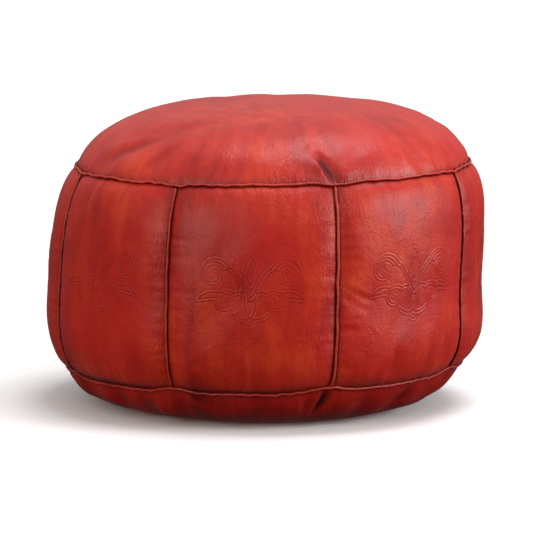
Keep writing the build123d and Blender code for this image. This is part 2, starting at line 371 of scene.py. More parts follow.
# each vertex's place on the flat pattern
def patternPoints(sheet):
    corners = np.empty(len(sheet.data.loops), dtype=np.int64)
    sheet.data.loops.foreach_get("vertex_index", corners)
    uv = np.empty(len(sheet.data.loops) * 2)
    sheet.data.uv_layers["pattern"].data.foreach_get("uv", uv)
    places = np.zeros((len(sheet.data.vertices), 2))
    places[corners] = uv.reshape(-1, 2)
    return places


stuffing = {"frames": 12, "pressure": 3.0, "weight": 0.35, "damping": 8.0, "stretch": 40.0, "bend": 1.0,
            "pin": 50.0, "quality": 4, "ease": 0.022, "easeReach": 0.03, "sideCap": 0.005, "crownCap": 0.004}


# Presses a sheet outward from inside with its edges held in the seams, where it was cut with some ease. The
# push is gentle: it moves a side panel by less than half a millimetre, and the crown by about 2 mm where it
# moves most. No point moves further than the cap.
def stuff(sheet, shape, cap):
    start = readPoints(sheet)
    sheet.shape_key_add(name="sewn")
    cut = sheet.shape_key_add(name="cut")
    cut.data.foreach_set("co", settled(shape["cut"]).astype(np.float32).ravel())
    cut.value = 0.0
    group = sheet.vertex_groups.new(name="seam")
    group.add([int(i) for i in np.flatnonzero(shape["held"])], 1.0, "REPLACE")
    cloth = sheet.modifiers.new("stuffed", "CLOTH")
    values = cloth.settings
    values.quality = stuffing["quality"]
    values.mass = stuffing["weight"]
    values.air_damping = stuffing["damping"]
    values.tension_stiffness = values.compression_stiffness = stuffing["stretch"]
    values.shear_stiffness = 0.5 * stuffing["stretch"]
    values.bending_stiffness = stuffing["bend"]
    values.use_pressure = True
    values.uniform_pressure_force = stuffing["pressure"]
    values.rest_shape_key = cut
    values.vertex_group_mass = "seam"
    values.pin_stiffness = stuffing["pin"]
    values.effector_weights.gravity = 0.0
    cloth.collision_settings.use_collision = False
    scene = bpy.context.scene
    for step in range(1, stuffing["frames"] + 1):
        scene.frame_set(step)
    stuffed = sheet.evaluated_get(bpy.context.evaluated_depsgraph_get())
    flat = np.empty(len(start) * 3)
    stuffed.data.vertices.foreach_get("co", flat)
    sheet.modifiers.remove(cloth)
    sheet.shape_key_clear()
    sheet.vertex_groups.clear()
    scene.frame_set(1)
    move = flat.reshape(-1, 3) - start
    far = np.linalg.norm(move, axis=1, keepdims=True)
    writePoints(sheet, start + move * (np.tanh(far / cap) * cap / (far + 1e-9)))
    print("  stuffed", sheet.name, "mean", round(float(far.mean()) * 1000, 2), "mm, most",
          round(float(far.max()) * 1000, 2), "mm", flush=True)


def edgePairs(sheet):
    pairs = np.empty(len(sheet.data.edges) * 2, dtype=np.int64)
    sheet.data.edges.foreach_get("vertices", pairs)
    return pairs.reshape(-1, 2)


def borderEdges(sheet):
    counts = np.zeros(len(sheet.data.edges), dtype=int)
    loops = np.empty(len(sheet.data.loops), dtype=np.int64)
    sheet.data.loops.foreach_get("edge_index", loops)
    np.add.at(counts, loops, 1)
    return counts == 1


def pick(elements, wanted):
    elements.foreach_set("select", np.asarray(wanted, dtype=bool))


# turns the border inward as the seam allowance: first a tight bend, then the rest of the strip
def turnIn(sheet, sewn=None):
    pairs = edgePairs(sheet)
    points = readPoints(sheet)
    border = borderEdges(sheet)
    if sewn is not None:
        border &= sewn(points[pairs[:, 0]]) & sewn(points[pairs[:, 1]])
    for depth in (drum["turn"], drum["allowance"] - drum["turn"]):
        chosen = np.zeros(len(points), dtype=bool)
        chosen[pairs[border].ravel()] = True
        pick(sheet.data.polygons, np.zeros(len(sheet.data.polygons)))
        pick(sheet.data.edges, border)
        pick(sheet.data.vertices, chosen)
        only(sheet)
        bpy.ops.object.mode_set(mode="EDIT")
        bpy.ops.mesh.select_mode(type="EDGE")
        bpy.ops.mesh.extrude_edges_move()
        bpy.ops.object.mode_set(mode="OBJECT")
        picked = np.empty(len(sheet.data.vertices), dtype=bool)
        sheet.data.vertices.foreach_get("select", picked)
        points = readPoints(sheet)
        edge = points[picked]
        angle = np.arctan2(edge[:, 1], edge[:, 0])
        length = np.where(np.hypot(edge[:, 0], edge[:, 1]) > 0.8 * radius, lengthAtHeight(edge[:, 2]), 0.0)
        points[picked] = edge - depth * outwardAt(angle, length)
        writePoints(sheet, points)
        pairs = edgePairs(sheet)
        border = borderEdges(sheet) & picked[pairs[:, 0]] & picked[pairs[:, 1]]


def thicken(sheet, thickness):
    addModifier(sheet, "SOLIDIFY", thickness=thickness, offset=-1.0, use_even_offset=False)


strokesNarrow = 0.62  # inside this share of the radius, the dye strokes narrow towards the middle


# Stores what the leather's colour and wrinkles follow: how much painted shade darkens each point, how near a
# seam is, from 0 to 1, and the way round and the way up the pouf, as a place on a plain cylinder.
def markLeather(sheet, paintedShade, near):
    points = readPoints(sheet)
    angle = np.arctan2(points[:, 1], points[:, 0])
    out = np.hypot(points[:, 0], points[:, 1])
    # the strokes don't run together to a star in the middle of the crown and the base
    wide = np.clip(out / strokesNarrow, 0, radius)
    around = np.stack([wide * np.cos(angle), wide * np.sin(angle), points[:, 2] - out], -1)
    for name, kind, key, values in (("paintedShade", "FLOAT", "value", np.clip(paintedShade, 0, 1)),
                                    ("near", "FLOAT", "value", np.clip(near, 0, 1)),
                                    ("around", "FLOAT_VECTOR", "vector", around)):
        mark = sheet.data.attributes.new(name, kind, "POINT")
        mark.data.foreach_set(key, values.astype(np.float32).ravel())


# Smooths a sheet, divides it finer where an ornament is pressed in, raises its relief, and gives it its
# thickness. relief(places, points) returns the height, the painted shade and the nearness of a seam.
def finishLeather(sheet, relief, refined=None):
    addModifier(sheet, "SUBSURF", levels=1, render_levels=1)
    if refined:
        places = patternPoints(sheet)
        inside = (np.abs(places[:, 0]) < refined[0]) & (np.abs(places[:, 1]) < refined[1])
        pick(sheet.data.vertices, np.zeros(len(sheet.data.vertices)))
        pick(sheet.data.edges, np.zeros(len(sheet.data.edges)))
        pick(sheet.data.polygons, [all(inside[v] for v in face.vertices) for face in sheet.data.polygons])
        only(sheet)
        bpy.ops.object.mode_set(mode="EDIT")
        bpy.ops.mesh.select_mode(type="FACE")
        bpy.ops.mesh.subdivide(number_cuts=1, smoothness=0.0)
        bpy.ops.object.mode_set(mode="OBJECT")
    rise, paintedShade, near = relief(patternPoints(sheet), readPoints(sheet))
    writePoints(sheet, readPoints(sheet) + rise[:, None] * pointNormals(sheet))
    markLeather(sheet, paintedShade, near)
    thicken(sheet, drum["leather"])
    smoothShade(sheet)


ornament = {"ridge": 0.42, "ridgeAt": 1.7, "ridgeWidth": 0.9,  # these two rows are in millimetres
            "groove": 0.40, "grooveWidth": 1.0, "outerAt": 3.4,
            "centreUp": 0.004, "reach": (0.072, 0.052)}


def bow(start, bend, end, count=30):
    t = np.linspace(0, 1, count)[:, None]
    return (1 - t) ** 2 * np.array(start) + 2 * t * (1 - t) * np.array(bend) + t ** 2 * np.array(end)


# a spiral that starts at an angle in degrees and winds inward clockwise
def volute(centre, outer, inner, first, turn, count=90):
    t = np.linspace(0, 1, count)
    angle = np.radians(first - turn * t)
    size = outer + (inner - outer) * t ** 0.8
    return np.stack([centre[0] + size * np.cos(angle), centre[1] + size * np.sin(angle)], -1)


def almond(low, high, width, count=50):
    t = np.linspace(0, 1, count)
    return np.stack([width * np.sin(math.pi * t ** 0.85), low + (high - low) * t], -1)


# the embossed palmette, right half only, in millimetres from its middle
ornamentStrokes = np.concatenate([
    almond(-12, 37, 8.5), almond(2, 27, 3.2),
    bow((7, -6), (12, 14), (23, 22)), volute((43, 16), 20, 5, 165, 420), volute((43, 16), 14, 12, 150, 150),
    bow((6, -12), (9, -2), (17, -6)), volute((29, -16), 14, 4, 140, 400),
    bow((38, -6), (50, -3), (61, -14)), bow((41, -11), (50, -12), (61, -14)),
    bow((6, -12), (7, -26), (2, -33)), volute((0, -39), 4.5, 4.5, 90, 180),
    bow((4, -36), (14, -36), (20, -30)),
])


# each stroke is a pressed line between two fine raised ones, pressed unevenly; painted shade darkens it
def palmette(places):
    mm = places * 1000 - np.array([0, ornament["centreUp"] * 1000])
    mm[:, 0] = np.abs(mm[:, 0])
    near = (mm[:, 0] < 70) & (np.abs(mm[:, 1]) < 50)  # no stroke comes further out
    spots = mm[near]
    distance = np.full(len(spots), 99.0)
    for stroke in ornamentStrokes:
        distance = np.minimum(distance, np.hypot(spots[:, 0] - stroke[0], spots[:, 1] - stroke[1]))
    raised = np.exp(-((distance - ornament["ridgeAt"]) / ornament["ridgeWidth"]) ** 2)
    sunk = np.exp(-(distance / ornament["grooveWidth"]) ** 2)
    sunk += 0.5 * np.exp(-((distance - ornament["outerAt"]) / ornament["grooveWidth"]) ** 2)
    pressed = 0.75 + 0.25 * ripple(places[near, 0] + 0.7 * places[near, 1], 0.06, 60)
    rise, paintedShade = np.zeros(len(mm)), np.zeros(len(mm))
    rise[near] = pressed * (ornament["ridge"] * raised - ornament["groove"] * sunk) / 1000
    paintedShade[near] = 0.34 * pressed * sunk
    return rise, paintedShade


# the soft unevenness, how far the painted shade along each seam reaches, and how far a seam's nearness
# reaches
wearAndSeamShade = {"billow": 0.0007, "billowSize": 0.06, "paintedSeamShadeReach": 0.0030, "nearSeam": 0.045}


# what every panel has: soft unevenness, painted shade along its seams, and how near a seam is
def handlingAndSeamShade(points, toSeam, amount=1.0):
    toSeam = np.clip(toSeam, 0, None)
    soft = wearAndSeamShade["billow"] * billow(points, wearAndSeamShade["billowSize"], 1) * np.clip(toSeam / 0.02, 0, 1)
    return amount * soft, 0.9 * np.exp(-toSeam / wearAndSeamShade["paintedSeamShadeReach"]), np.exp(-toSeam / wearAndSeamShade["nearSeam"])


def sidePanel(index):
    middle = panelAngles[index]
    half = sector / 2 - drum["tongue"] / radius
    centreLength = 0.5 * (baseLength + crownLength)

    def place(a, b):
        angle = middle + a * half
        low, high = baseSeamAt(angle) + drum["tongue"], crownSeamAt(angle) - drum["tongue"]
        length = low + (high - low) * (b + 1) / 2
        toSide = (1 - np.abs(a)) * half * radius
        toRound = np.minimum(length - low, high - length)
        sink = drum["sink"]
        depth = sink * (1 - (1 - dip(toSide) / sink) * (1 - dip(toRound) / sink))
        gathers = np.where(a > 0, pucker(toSide, length, 3 + index), pucker(toSide, length, 12 + index))
        depth = depth + gathers + pucker(toRound, angle * radius, 4)
        depth = depth + foldDepth(sideFolds, angle, length - low)
        ease, reach = stuffing["ease"], stuffing["easeReach"]
        cutAngle = middle + (angle - middle) * (1 + ease * np.exp(-toRound / reach))
        cutLength = centreLength + (length - centreLength) * (1 + ease * np.exp(-toSide / reach))
        return {"points": onDrum(angle, length, depth), "cut": onDrum(cutAngle, cutLength, depth),
                "held": (np.abs(a) > 0.999) | (np.abs(b) > 0.999),
                "pattern": np.stack([a * half * radius, length - centreLength], -1)}

    def relief(places, points):
        tall = 0.5 * (crownLength - baseLength)
        toSeam = np.minimum(half * radius - np.abs(places[:, 0]), tall - np.abs(places[:, 1]) + 0.004)
        rise, paintedShade = palmette(places)
        roughRise, paintedSeamShade, near = handlingAndSeamShade(points, toSeam, 0.8)
        return rise + roughRise, paintedShade + paintedSeamShade, near

    sheet, shape = gridSheet(f"sidePanel{index + 1}", 62, 74, place)
    stuff(sheet, shape, stuffing["sideCap"])
    turnIn(sheet)
    finishLeather(sheet, relief, ornament["reach"])
    belongTo(sheet, "leather_side", f"side_panel_{index + 1}")
    return sheet


# a square's points spread evenly over a disc of radius 1
def discPoint(a, b):
    return a * np.sqrt(1 - b ** 2 / 2), b * np.sqrt(1 - a ** 2 / 2)


crownPull = {"depth": 0.0018, "width": 0.014, "reach": 0.03}  # the crown dips above each upright seam


def crownPanel():
    reach = topLength - crownLength

    def place(a, b):
        x, y = discPoint(a, b)
        angle, share = np.arctan2(y, x), np.hypot(x, y)
        seam = crownSeamAt(angle) + drum["tongue"]
        length = topLength - share * (topLength - seam)
        above = length - seam
        pull = crownPull["depth"] * np.exp(-(awayFromSeam(angle) * radius / crownPull["width"]) ** 2)
        pull = pull * np.exp(-above / crownPull["reach"])
        depth = dip(above) + pucker(above, angle * radius, 6) + pull + foldDepth(crownFolds, angle, above)
        points = onDrum(angle, length, depth)
        cut = points.copy()
        cut[:, :2] *= (1 + stuffing["ease"] * np.exp(-above / stuffing["easeReach"]))[:, None]
        pattern = np.stack([x, y], -1) * reach
        return {"points": points, "cut": cut, "held": share > 0.999, "pattern": pattern}

    def relief(places, points):
        away = reach - np.hypot(places[:, 0], places[:, 1])
        rise, paintedShade, near = handlingAndSeamShade(points, away, 0.9)
        return rise, paintedShade + paintedFoldShade(crownFolds, places, away), near

    sheet, shape = gridSheet("crownPanel", 108, 108, place)
    stuff(sheet, shape, stuffing["crownCap"])
    turnIn(sheet)
    finishLeather(sheet, relief)
    belongTo(sheet, "leather_crown", "crown_panel")
    return sheet


# the loose waves and folds of the base, which begin this far out, where it turns up from the floor
slack = {"height": 0.0022, "spacing": 0.075, "fromSeam": 0.03, "from": 0.14, "over": 0.05}


def standOnFloor(sheet):
    points = readPoints(sheet)
    points[:, 2] = np.maximum(points[:, 2], 0.0)
    writePoints(sheet, points)


# one half of the base: side is -1 for the front and 1 for the back
def baseHalf(side, name, node):
    def place(a, b):
        share = (b + 1) / 2
        x, y = discPoint(a, share)
        x, y = (x, -y) if side < 0 else (-x, y)
        angle, spread = np.arctan2(y, x), np.hypot(x, y)
        seam = baseSeamAt(angle) - drum["tongue"]
        length = spread * seam
        toSeam = seam - length
        outside = np.clip((length - slack["from"]) / slack["over"], 0, 1)
        loose = slack["height"] * np.exp(-(toSeam - slack["fromSeam"]) ** 2 / slack["fromSeam"] ** 2)
        loose = loose * ripple(angle * radius, slack["spacing"], 8)
        near = np.clip(length / 0.12, 0, 1)
        depth = (dip(toSeam) + pucker(toSeam, angle * radius, 9)) * near
        depth = depth + outside * (loose + foldDepth(baseFolds, angle, toSeam))
        points = onDrum(angle, length, depth)
        wide = drum["troughFoot"] - drum["troughTop"]
        slope = np.clip((np.abs(points[:, 1]) - drum["troughTop"]) / wide, 0, 1)
        lift = drum["troughHeight"] * (1 - slope ** 2 * (3 - 2 * slope))
        level = np.maximum(points[:, 2], 0)
        points[:, 2] = level + lift * np.exp(-level / drum["troughRound"])
        beyond = np.clip((np.abs(points[:, 0]) - drum["mouthLength"] / 2) / drum["mouthRound"], 0, 1)
        half = drum["mouthWidth"] / 2
        gap = half + (drum["tongue"] - half) * beyond ** 2 * (3 - 2 * beyond)
        points[:, 1] += side * gap * (1 - share) ** 3
        return {"points": points, "pattern": np.stack([x, y], -1) * baseLength}

    def relief(places, points):
        away = baseLength - np.hypot(places[:, 0], places[:, 1])
        rise, paintedShade, near = handlingAndSeamShade(points, np.minimum(away, np.abs(points[:, 1]) + 0.001), 1.2)
        rise = rise * np.clip((points[:, 2] - 0.001) / 0.015, 0, 1)  # flat where it rests on the floor
        return rise, paintedShade + paintedFoldShade(baseFolds, places, away), near

    # the edge along the zip isn't turned in
    def sewn(spots):
        return (np.abs(spots[:, 0]) > drum["mouthLength"] / 2 + 0.008) | (np.abs(spots[:, 1]) > 0.03)

    sheet = gridSheet(name, 104, 52, place)[0]
    standOnFloor(sheet)
    turnIn(sheet, sewn)
    finishLeather(sheet, relief)
    standOnFloor(sheet)
    belongTo(sheet, "leather_base", node)
    return sheet


welt = {"bead": 0.0017, "rise": 0.0015, "tail": 0.0065, "tailHalf": 0.0007, "sides": 24,
        "beadShare": 0.8, "tailRoot": 0.85,  # of the outline, and of the bead's radius
        "uneven": 0.0003, "unevenSpacing": 0.03, "wander": 0.0004}


# the welt's keyhole outline, a bead on a flat tail: its places across and outward, for b from -1 to 1
def weltSection(b):
    share = np.abs(b)
    angle = math.pi / 2 - math.pi * b
    onBead = share < welt["beadShare"]
    tail = np.clip((share - welt["beadShare"]) / 0.2, 0, 1)
    across = np.where(onBead, welt["bead"] * np.cos(angle), np.sign(b) * welt["tailHalf"] * (tail < 0.99))
    tailOut = -welt["tailRoot"] * welt["bead"] - tail * welt["tail"]
    out = np.where(onBead, welt["bead"] * np.sin(angle), tailOut)
    return across, out


# lays the welt's section along a seam: route(a) gives the seam's points, its outward and its across
def weltStrip(name, columns, endless, route):
    def place(a, b):
        spots, out, across = route(a)
        aside, up = weltSection(b)
        if not endless:
            tip = np.sqrt(np.clip((1 - np.abs(a)) / 0.02, 0, 1))
            aside, up = aside * tip, up * tip
        up = up + welt["rise"] - drum["sink"]
        return {"points": spots + across * aside[:, None] + out * up[:, None],
                "pattern": np.stack([aside, a * 0.5], -1)}

    piece = gridSheet(name, columns, welt["sides"], place)[0]
    inEdit(piece, closeUp)
    # painted shade darkens the sides of the bead
    aside = np.abs(patternPoints(piece)[:, 0]) / welt["bead"]
    markLeather(piece, 0.9 * np.clip((aside - 0.55) / 0.4, 0, 1), 0.5 + 0 * aside)
    smoothShade(piece)
    return piece


def roundWelt(name, node, seamAt, seed):
    def route(a):
        angle = math.pi * a
        length = seamAt(angle)
        out = outwardAt(angle, length)
        uneven = welt["uneven"] * ripple(angle * radius, welt["unevenSpacing"], seed)
        return onDrum(angle, length, uneven), out, np.cross(out, aroundAt(angle))

    piece = weltStrip(name, 600, True, route)
    belongTo(piece, "leather_welt", node)
    return piece


def sideWelt(index):
    def route(a):
        angle = seamAngles[index] + 0 * a
        low, high = baseSeamAt(angle) + 1.1 * welt["bead"], crownSeamAt(angle) - 1.1 * welt["bead"]
        length = low + (high - low) * (a + 1) / 2
        wander = welt["wander"] * ripple(length, 0.05, 10 + index) / radius
        uneven = welt["uneven"] * ripple(length, welt["unevenSpacing"], index)
        return onDrum(angle + wander, length, uneven), outwardAt(angle, length), aroundAt(angle)

    piece = weltStrip(f"sideWelt{index + 1}", 120, False, route)
    belongTo(piece, "leather_welt", f"side_welt_{index + 1}")
    return piece


stitch = {"length": 0.0036, "pitch": 0.0046, "thick": 0.00045, "inside": 0.0062, "beside": 0.0030,
          "clear": 0.0055, "sideEnds": 0.012,  # left free at a crossing of two seams
          "joint": {"from": 0.142, "to": 0.222, "height": 0.016, "risesFrom": 0.16, "rise": 0.15},
          "zipRows": (0.0028, 0.0062), "pastZip": 0.006, "proud": 0.0001}


# one stitch, lying along X, which dips into the leather at both ends
def stitchShape():
    bpy.ops.object.select_all(action="DESELECT")
    bpy.ops.mesh.primitive_uv_sphere_add(segments=6, ring_count=5, radius=1.0)
    shape = bpy.context.object
    points = readPoints(shape)[:, [2, 0, 1]]
    points *= np.array([stitch["length"] / 2, stitch["thick"], stitch["thick"]])
    points[:, 2] -= (points[:, 0] / (stitch["length"] / 2)) ** 2 * stitch["thick"]
    faces = [tuple(face.vertices) for face in shape.data.polygons]
    bpy.data.objects.remove(shape)
    return points, faces


# copies the stitch along rows, each given as its points and its outward
def stitchRows(name, rows, node, slotName="thread"):
    shape, faces = stitchShape()
    points, allFaces = [], []
    for spots, out in rows:
        along = np.gradient(spots, axis=0)
        along /= np.linalg.norm(along, axis=1, keepdims=True)
        for spot, x, y, z in zip(spots, along, np.cross(out, along), out):
            allFaces += [tuple(v + len(points) * len(shape) for v in face) for face in faces]
            points.append(spot + shape @ np.stack([x, y, z]))
    mesh = bpy.data.meshes.new(name)
    mesh.from_pydata(settled(np.concatenate(points)).tolist(), [], allFaces)
    piece = bpy.data.objects.new(name, mesh)
    bpy.context.scene.collection.objects.link(piece)
    inEdit(piece, closeUp)
    smoothShade(piece)
    belongTo(piece, slotName, node)
    return piece


# a row of stitches round the pouf beside a round seam; side is 1 above it and -1 below it
def ringRow(seamAt, side, gapAt, gapEvery):
    count = int(2 * math.pi * 0.93 * radius / stitch["pitch"])
    angle = np.linspace(-math.pi, math.pi, count, endpoint=False)
    if gapEvery:
        away = np.abs((angle - gapAt + gapEvery / 2) % gapEvery - gapEvery / 2)
        angle = angle[away * radius > stitch["clear"]]
    length = seamAt(angle) + side * stitch["beside"]
    normal = np.cross(outwardAt(angle, length), aroundAt(angle))
    return onDrum(angle, length, drum["sink"] + stitch["inside"] + 0 * angle), side * normal


def allStitching():
    pieces = [
        stitchRows("crownSeamThread", [ringRow(crownSeamAt, 1, 0, 0),
                                       ringRow(crownSeamAt, -1, seamAngles[0], sector)], "crown_seam_thread"),
        stitchRows("baseSeamThread", [ringRow(baseSeamAt, -1, 0, math.pi),
                                      ringRow(baseSeamAt, 1, seamAngles[0], sector)], "base_seam_thread")]
    rows = []
    for seam in seamAngles:
        for side in (-1, 1):
            ends = stitch["sideEnds"]
            length = np.arange(baseLength + ends, crownLength - ends, stitch["pitch"])
            angle = seam + side * stitch["beside"] / fromTable("across", length)
            spots = onDrum(angle, length, drum["sink"] + stitch["inside"] + 0 * angle)
            rows.append((spots, side * aroundAt(angle)))
    pieces.append(stitchRows("sideSeamThreads", rows, "side_seam_threads"))
    rows = []
    joint = stitch["joint"]
    for end in (-1, 1):
        for side in (-1, 1):
            x = end * np.arange(joint["from"], joint["to"], stitch["pitch"])
            up = joint["height"] + np.maximum(np.abs(x) - joint["risesFrom"], 0) * joint["rise"]
            spots = np.stack([x, side * stitch["beside"] + 0 * x, up], -1)
            rows.append((spots, np.tile([0.0, side, 0.0], (len(x), 1))))
    pieces.append(stitchRows("baseJointThreads", rows, "base_joint_threads"))
    rows = []
    reach = drum["mouthLength"] / 2 + stitch["pastZip"]
    below = drum["troughHeight"] - stitch["proud"]
    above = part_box("zip_tape_front")[1][2] + stitch["proud"]
    for side in (-1, 1):
        for away in stitch["zipRows"]:
            x = np.arange(-reach, reach, stitch["pitch"])
            y = side * (drum["mouthWidth"] / 2 + away) + 0 * x
            for level, up in ((below, -1.0), (above, 1.0)):
                rows.append((np.stack([x, y, level + 0 * x], -1), np.tile([0.0, 0.0, up], (len(x), 1))))
    pieces.append(stitchRows("zipSeamThreads", rows, "zip_seam_threads"))
    return pieces


liner = {"depth": 0.016, "thick": 0.0008, "ruck": 0.0010,
         "seamLow": 0.046, "seamHigh": 0.292, "seamGap": 0.0004,
         "overZip": 0.0225, "zipHalf": 0.024, "zipSlope": 0.040, "underside": 0.004}
filling = {"depth": 0.0185, "lumps": 0.0012, "aboveLiner": 0.003, "fill": 0.95}


# lifts what lies on the base over the trough and the zip
def overZip(points, floor):
    slope = np.clip((np.abs(points[:, 1]) - liner["zipHalf"]) / liner["zipSlope"], 0, 1)
    rise = floor + (liner["overZip"] - liner["underside"]) * (1 - slope ** 2 * (3 - 2 * slope))
    points[:, 2] = np.maximum(points[:, 2], rise)
    return points


def linerDepth(angle, length):
    return liner["depth"] + liner["ruck"] * (1 + ripple(angle * radius, 0.06, 5) * ripple(length, 0.08, 6))


def linerPiece(name, node, columns, rows, place):
    sheet = gridSheet(name, columns, rows, place)[0]
    inEdit(sheet, mergeDoubles)
    thicken(sheet, liner["thick"])
    smoothShade(sheet)
    belongTo(sheet, "liner", node)
    return sheet


def linerBag():
    low = float(lengthAtHeight(liner["seamLow"]))
    crownPart = (table["along"] > crownLength) & (table["across"] > 0.02)
    high = float(np.interp(liner["seamHigh"], table["up"][crownPart], table["along"][crownPart]))

    def top(a, b):
        x, y = discPoint(a, b)
        angle, share = np.arctan2(y, x), np.hypot(x, y)
        length = topLength - share * (topLength - high - liner["seamGap"])
        return {"points": onDrum(angle, length, linerDepth(angle, length)),
                "pattern": np.stack([x, y], -1) * 0.25}

    def side(a, b):
        angle, gap = math.pi * a, liner["seamGap"]
        length = low + gap + (high - low - 2 * gap) * (b + 1) / 2
        return {"points": onDrum(angle, length, linerDepth(angle, length)),
                "pattern": np.stack([angle * radius, length], -1)}

    def base(a, b):
        x, y = discPoint(a, b)
        angle, share = np.arctan2(-y, x), np.hypot(x, y)
        length = share * (low - liner["seamGap"])
        points = onDrum(angle, length, linerDepth(angle, length))
        return {"points": overZip(points, liner["underside"]), "pattern": np.stack([x, y], -1) * 0.2}

    pieces = [linerPiece("linerTop", "liner_top", 60, 60, top),
              linerPiece("linerBase", "liner_base", 60, 60, base),
              linerPiece("linerSide", "liner_side", 200, 36, side)]
    rows = []
    for length in (low, high):
        angle = np.linspace(-math.pi, math.pi, 300, endpoint=False)
        depth = linerDepth(angle, length + 0 * angle) + liner["thick"] + stitch["thick"]
        rows.append((onDrum(angle, length + 0 * angle, depth), -outwardAt(angle, length + 0 * angle)))
    return pieces, stitchRows("linerThreads", rows, "liner_threads", "liner_thread")


def waddingFill():
    bpy.ops.object.select_all(action="DESELECT")
    bpy.ops.mesh.primitive_ico_sphere_add(subdivisions=6, radius=1.0)
    piece = bpy.context.object
    piece.name = piece.data.name = "wadding"
    ball = readPoints(piece)
    angle = np.arctan2(ball[:, 1], ball[:, 0])
    length = topLength * (0.5 + np.arcsin(np.clip(ball[:, 2], -1, 1)) / math.pi)
    lumps = filling["lumps"] * (1 + ripple(angle * radius, 0.07, 2) * ripple(length, 0.06, 4))
    points = onDrum(angle, length, filling["depth"] + lumps)
    writePoints(piece, settled(overZip(points, liner["underside"] + filling["aboveLiner"])))
    smoothShade(piece)
    belongTo(piece, "filling", "filling")
    return piece


def linear(hexColour):
    channels = [int(hexColour[i:i + 2], 16) / 255 for i in (1, 3, 5)]
    return tuple(c / 12.92 if c <= 0.04045 else ((c + 0.055) / 1.055) ** 2.4 for c in channels) + (1.0,)


# a texture's scale for features of this many millimetres
def perMm(size):
    return 1000.0 / size


# adds a node: its own properties and its inputs are set by name, and links feed inputs by name or number
def addNode(tree, kind, links=None, **settings):
    node = tree.nodes.new("ShaderNode" + kind)
    for name, value in settings.items():
        if hasattr(node, name):
            setattr(node, name, value)
        else:
            node.inputs[name.replace("_", " ")].default_value = value
    for name, socket in (links or {}).items():
        tree.links.new(socket, node.inputs[name])
    return node


def newMaterial(name):
    material = bpy.data.materials.new(name)
    material.use_nodes = True
    tree = material.node_tree
    return material, tree, tree.nodes["Principled BSDF"]


def colourRamp(tree, socket, stops):
    ramp = addNode(tree, "ValToRGB", {"Fac": socket})
    elements = ramp.color_ramp.elements
    elements[0].position, elements[0].color = stops[0][0], linear(stops[0][1])
    elements[1].position, elements[1].color = stops[-1][0], linear(stops[-1][1])
    for position, colour in stops[1:-1]:
        elements.new(position).color = linear(colour)
    return ramp.outputs["Color"]


leathers = {  # each leather's tones from dark to light, its cooler tint, the colour of its painted shade, and its finish
    "side": {"name": "goatLeatherSide", "tones": ("#861008", "#A41A0C", "#B4260E", "#C23C14"),
             "cool": "#B01A14", "paintedShadeColour": "#8A4038",
             "roughness": 0.46, "specular": 0.34, "coat": 0.03, "sheen": 0.02},
    # the crown's tones are a little lighter than the sides': painted light on the top, which faces the lamps
    "crown": {"name": "goatLeatherCrownLit", "tones": ("#941410", "#AC1E14", "#B82A18", "#C83A1A"),
              "cool": "#B8201E", "paintedShadeColour": "#8A4038",
              "roughness": 0.43, "specular": 0.38, "coat": 0.05, "sheen": 0.03},
    # the base's tones are darker than the sides': painted shade low down and under the pouf
    "base": {"name": "goatLeatherBaseShaded", "tones": ("#740A05", "#8C1007", "#9A1609", "#A82512"),
             "cool": "#8E0E0C", "paintedShadeColour": "#7A342C",
             "roughness": 0.52, "specular": 0.22, "coat": 0.0, "sheen": 0.0},
    "welt": {"name": "rolledWeltLeather", "tones": ("#8E1A0E", "#A42614", "#B4321E", "#C0442C"),
             "cool": "#B83028", "paintedShadeColour": "#7A342C",
             "roughness": 0.42, "specular": 0.40, "coat": 0.04, "sheen": 0.0},
}
